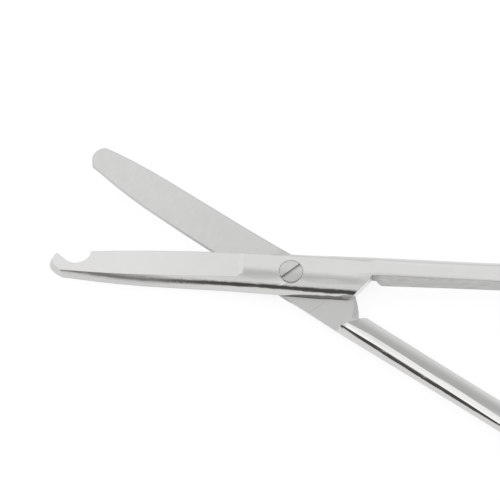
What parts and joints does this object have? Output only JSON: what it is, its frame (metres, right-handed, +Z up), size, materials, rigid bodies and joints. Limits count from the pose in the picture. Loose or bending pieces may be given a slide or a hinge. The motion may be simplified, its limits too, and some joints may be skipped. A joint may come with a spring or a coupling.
{
  "type": "suture scissors",
  "caption": "Slender stitch scissors in satin steel: one blade ends in a small hook with a curved notch, the other is plain and round-tipped, on a slotted flush screw, with oval finger rings.",
  "frame": {"origin": "on the joint's axis, at the height of the table on which the scissors lie", "axes": "+X along the line midway between the shanks, from the joint towards the finger rings; +Z up, out of the slotted head of the joint screw; +Y completes the frame, towards the hooked half's ring"},
  "size_m": [0.1237, 0.0878, 0.0039],
  "materials": {
    "forging_steel": "satin on the flats, polished on the rounded sides",
    "screw_steel": "turned and polished"
  },
  "bodies": {
    "lower_half": {"plain_half": "forging_steel", "pivot_screw": "screw_steel"},
    "upper_half": {"hooked_half": "forging_steel"}
  },
  "joints": [
    {"name": "blade_pivot", "type": "hinge", "parent": "lower_half", "child": "upper_half", "pos_m": [0, 0, 0.00195], "axis": [0, 0, 1], "range_deg": [-26.4, 53.6]}
  ]
}
